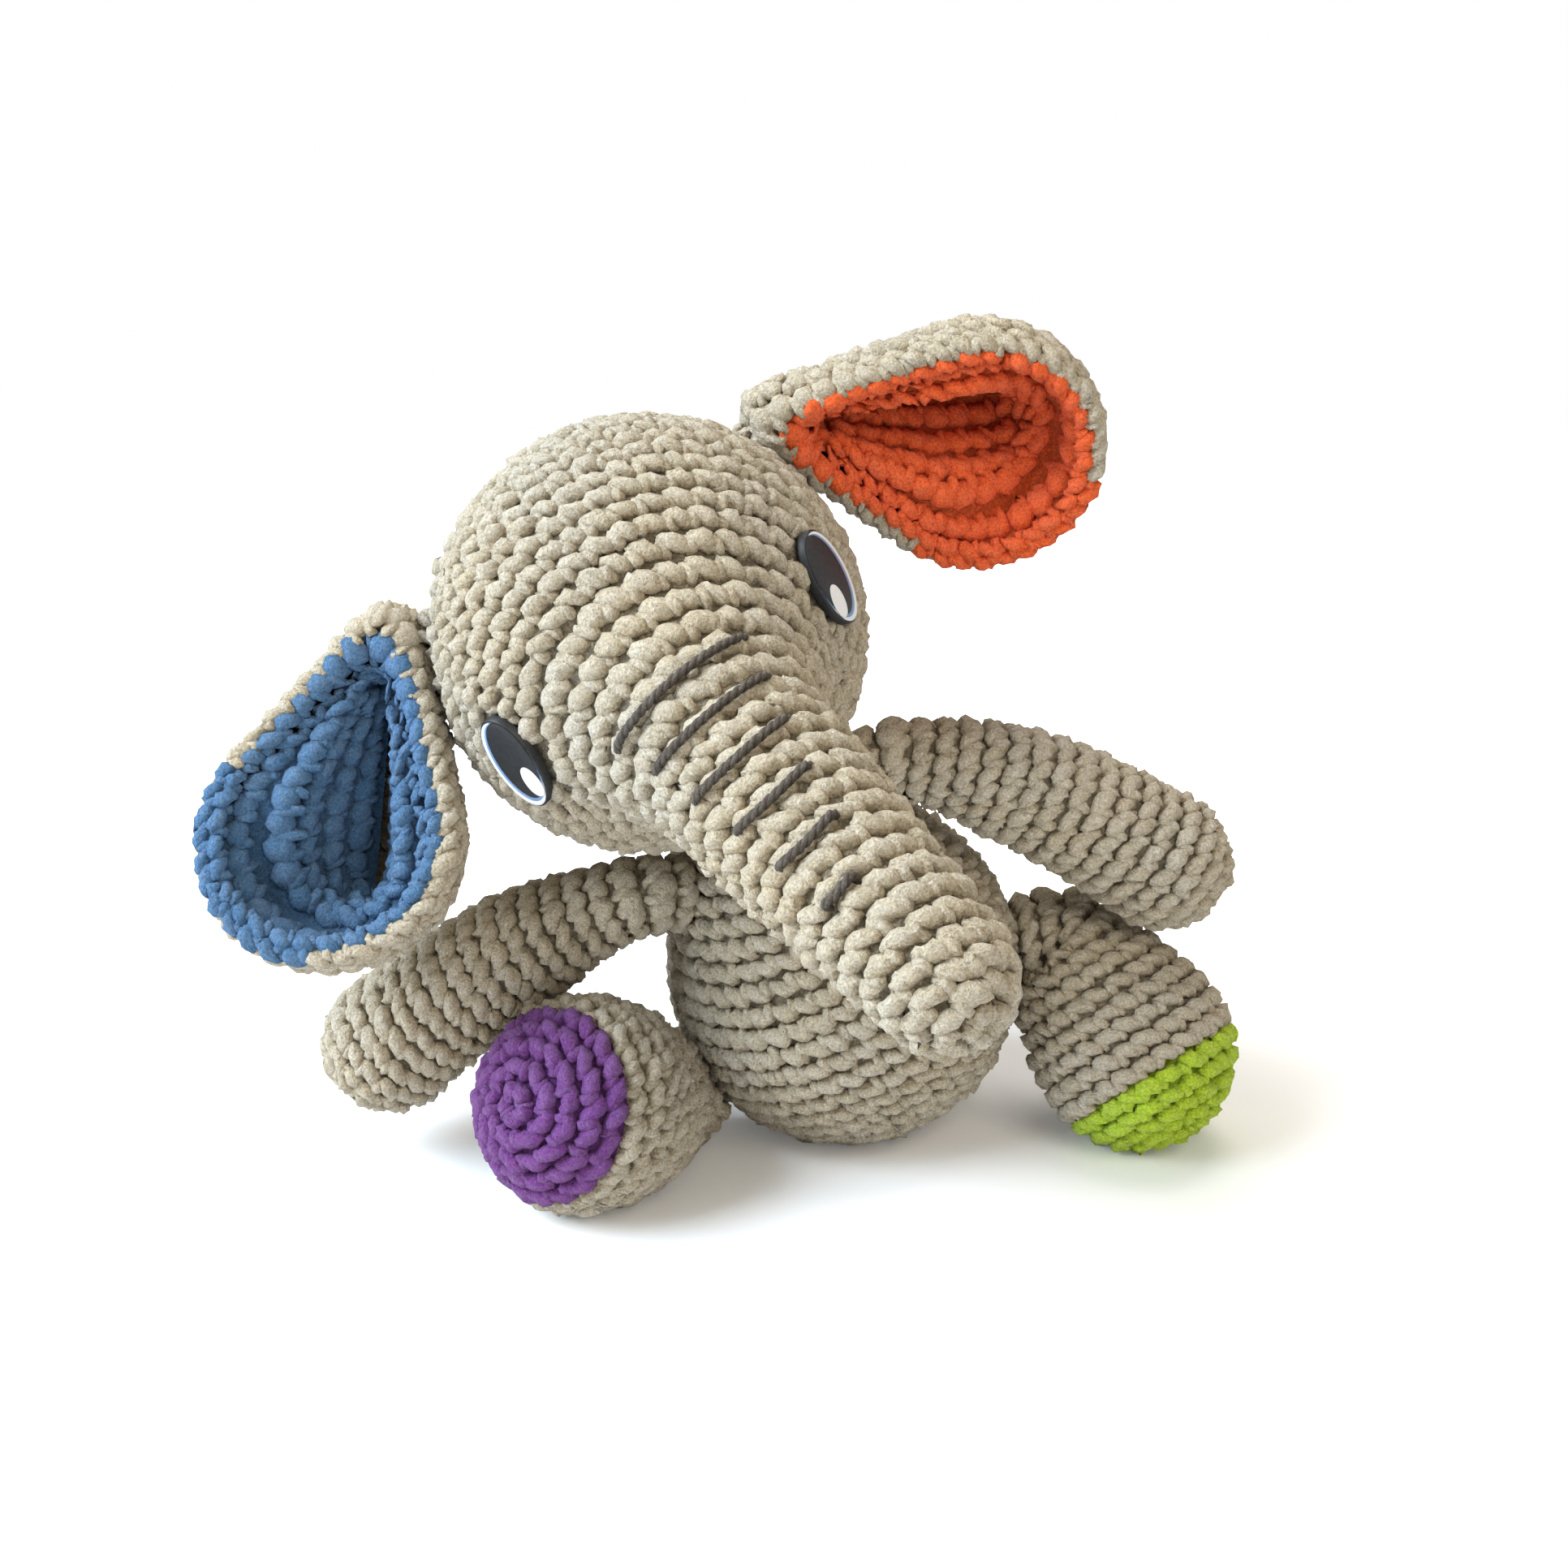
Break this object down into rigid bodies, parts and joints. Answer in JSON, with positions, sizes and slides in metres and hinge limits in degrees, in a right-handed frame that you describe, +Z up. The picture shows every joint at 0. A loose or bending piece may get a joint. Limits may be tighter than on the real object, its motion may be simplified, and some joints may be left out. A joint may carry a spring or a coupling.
{
  "type": "stuffed toy elephant",
  "caption": "Crocheted plush elephant seated and leaning, with a wrinkled trunk, cupped lined ears, coloured soles and oval button eyes; limbs, ears, neck and trunk bend where they are sewn on.",
  "frame": {"origin": "centre of the flat seat, where the body rests on the floor", "axes": "+Z up; the face and the trunk look towards -Y; the toy's own left side is towards +X"},
  "size_m": [0.3402, 0.2568, 0.2836],
  "materials": {
    "greige_yarn": "thick velvety chenille yarn, single crochet",
    "orange_yarn": "thick velvety chenille yarn, single crochet",
    "blue_yarn": "thick velvety chenille yarn, single crochet",
    "purple_yarn": "thick velvety chenille yarn, single crochet",
    "green_yarn": "thick velvety chenille yarn, single crochet",
    "wrinkle_yarn": "plied cotton yarn",
    "filling": "polyester fibre filling",
    "eye_plastic": "polished, printed with a blue and a white crescent",
    "washer_plastic": "moulded"
  },
  "bodies": {
    "torso": {"body_cover": "greige_yarn", "body_stuffing": "filling", "neck_seam": "greige_yarn", "left_arm_seam": "greige_yarn", "right_arm_seam": "greige_yarn", "left_leg_seam": "greige_yarn", "right_leg_seam": "greige_yarn"},
    "neck": {"neck_cover": "greige_yarn", "neck_stuffing": "filling"},
    "head": {"head_cover": "greige_yarn", "head_stuffing": "filling", "left_eye": "eye_plastic", "right_eye": "eye_plastic", "left_eye_washer": "washer_plastic", "right_eye_washer": "washer_plastic", "left_ear_seam": "greige_yarn", "right_ear_seam": "greige_yarn"},
    "trunk": {"trunk_cover": "greige_yarn", "trunk_stuffing": "filling", "trunk_wrinkle_1": "wrinkle_yarn", "trunk_wrinkle_2": "wrinkle_yarn", "trunk_wrinkle_3": "wrinkle_yarn", "trunk_wrinkle_4": "wrinkle_yarn"},
    "trunk_tip": {"trunk_tip_cover": "greige_yarn", "trunk_tip_stuffing": "filling", "trunk_wrinkle_5": "wrinkle_yarn", "trunk_wrinkle_6": "wrinkle_yarn"},
    "left_ear": {"left_ear_outer": "greige_yarn", "left_ear_lining": "orange_yarn"},
    "right_ear": {"right_ear_outer": "greige_yarn", "right_ear_lining": "blue_yarn"},
    "left_arm": {"left_arm_cover": "greige_yarn", "left_arm_stuffing": "filling"},
    "right_arm": {"right_arm_cover": "greige_yarn", "right_arm_stuffing": "filling"},
    "left_leg": {"left_leg_cover": "greige_yarn", "left_leg_stuffing": "filling", "left_sole": "green_yarn"},
    "right_leg": {"right_leg_cover": "greige_yarn", "right_leg_stuffing": "filling", "right_sole": "purple_yarn"}
  },
  "joints": [
    {"name": "neck_turn", "type": "hinge", "parent": "torso", "child": "neck", "pos_m": [-0.03277, -0.01489, 0.12151], "axis": [-0.449, -0.204, 0.8699], "range_deg": [-30, 30], "stiffness_Nm_per_rad": 1.5},
    {"name": "head_nod", "type": "hinge", "parent": "neck", "child": "head", "pos_m": [-0.03277, -0.01489, 0.12151], "axis": [0.8581, 0.173, 0.4834], "range_deg": [-10, 9], "stiffness_Nm_per_rad": 2},
    {"name": "trunk_swing", "type": "hinge", "parent": "head", "child": "trunk", "pos_m": [-0.04292, -0.09402, 0.16784], "axis": [-0.2292, -0.5934, 0.7716], "range_deg": [-10, 7], "stiffness_Nm_per_rad": 0.8},
    {"name": "trunk_curl", "type": "hinge", "parent": "trunk", "child": "trunk_tip", "pos_m": [-0.0101, -0.13807, 0.14371], "axis": [0.8051, 0.33, 0.4929], "range_deg": [-12, 12], "stiffness_Nm_per_rad": 0.5},
    {"name": "left_ear_flap", "type": "hinge", "parent": "head", "child": "left_ear", "pos_m": [-0.02414, -0.01143, 0.25291], "axis": [0.0997, -0.9756, 0.1957], "range_deg": [-6, 20], "stiffness_Nm_per_rad": 0.3},
    {"name": "right_ear_flap", "type": "hinge", "parent": "head", "child": "right_ear", "pos_m": [-0.1469, -0.03618, 0.18375], "axis": [-0.0732, 0.8923, -0.4456], "range_deg": [-2, 20], "stiffness_Nm_per_rad": 0.3},
    {"name": "left_arm_raise", "type": "hinge", "parent": "torso", "child": "left_arm", "pos_m": [0.00914, -0.01834, 0.14041], "axis": [-0.003, -0.9732, -0.2298], "range_deg": [-2, 28], "stiffness_Nm_per_rad": 0.6},
    {"name": "right_arm_swing", "type": "hinge", "parent": "torso", "child": "right_arm", "pos_m": [-0.06725, -0.03374, 0.09738], "axis": [0.449, 0.204, -0.8699], "range_deg": [-1, 30], "stiffness_Nm_per_rad": 0.6},
    {"name": "left_leg_lift", "type": "hinge", "parent": "torso", "child": "left_leg", "pos_m": [0.07759, 0.0028, 0.06813], "axis": [-0.6508, -0.7593, 0], "range_deg": [-1, 12], "stiffness_Nm_per_rad": 3},
    {"name": "right_leg_swing", "type": "hinge", "parent": "torso", "child": "right_leg", "pos_m": [-0.06202, -0.02514, 0.01735], "axis": [0, 0, 1], "range_deg": [-1, 15], "stiffness_Nm_per_rad": 3}
  ]
}
